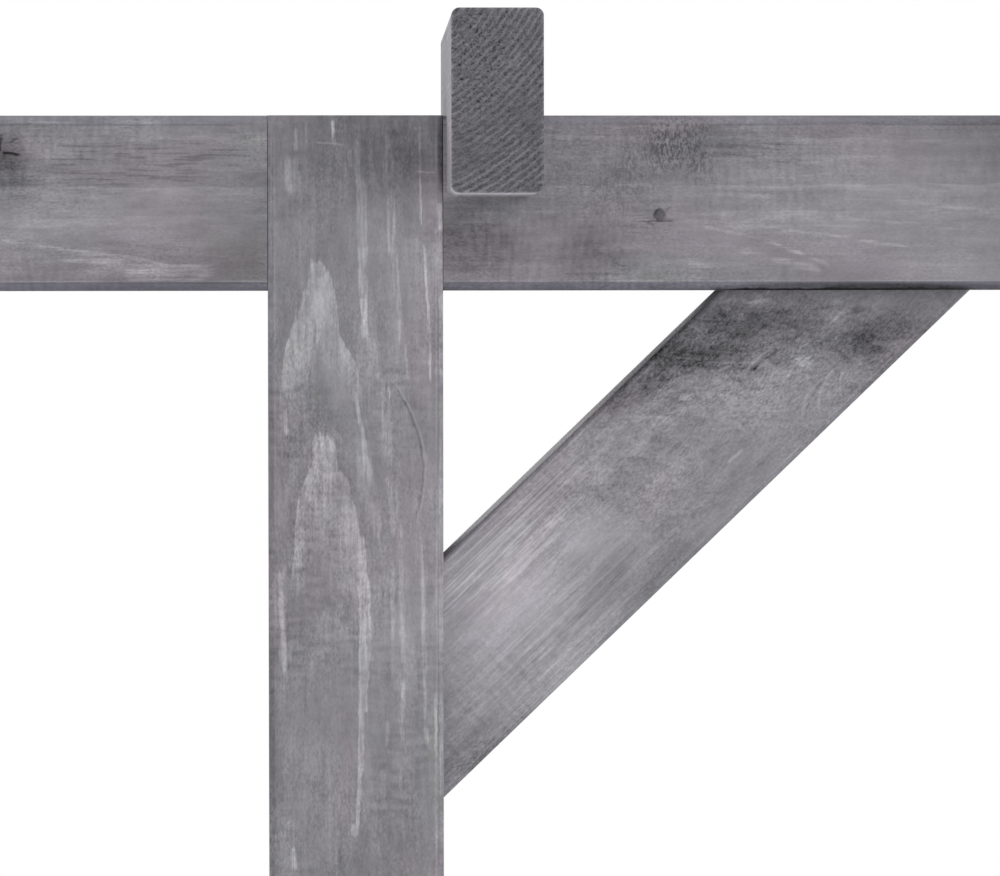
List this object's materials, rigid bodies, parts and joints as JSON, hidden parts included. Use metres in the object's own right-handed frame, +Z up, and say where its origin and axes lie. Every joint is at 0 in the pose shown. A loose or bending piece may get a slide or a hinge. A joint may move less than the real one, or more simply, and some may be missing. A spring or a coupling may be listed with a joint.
{
  "type": "garden pergola",
  "caption": "Free-standing open timber pergola: square posts half-lapped to front and back beams, mitred corner braces and a row of notched rafters.",
  "frame": {"origin": "on the ground, at the middle of the pergola's plan", "axes": "+X along the beams to the right as seen from the front, +Y from the front frame to the back frame, +Z up"},
  "size_m": [3, 2.4, 2.1375],
  "materials": {
    "post_timber": "planed softwood with a thin grey stain, matt, grain and planer marks showing",
    "beam_timber": "planed softwood with a thin grey stain, matt, small knots and torn grain",
    "brace_timber": "planed softwood with a thin grey stain, matt, darker blotches near the ends",
    "rafter_timber": "planed softwood with a thin grey stain, matt, darker rough-sawn ends with growth rings",
    "screw_steel": "zinc-plated countersunk wood screws, dull, with a cross recess"
  },
  "bodies": {
    "root": {"post_front_left": "post_timber", "post_front_right": "post_timber", "post_back_left": "post_timber", "post_back_right": "post_timber", "beam_front": "beam_timber", "beam_back": "beam_timber", "brace_front_left": "brace_timber", "brace_front_right": "brace_timber", "brace_back_left": "brace_timber", "brace_back_right": "brace_timber", "rafter_01": "rafter_timber", "rafter_02": "rafter_timber", "rafter_03": "rafter_timber", "rafter_04": "rafter_timber", "rafter_05": "rafter_timber", "rafter_06": "rafter_timber", "rafter_07": "rafter_timber", "rafter_08": "rafter_timber", "rafter_09": "rafter_timber", "rafter_10": "rafter_timber", "rafter_11": "rafter_timber"}
  },
  "joints": []
}
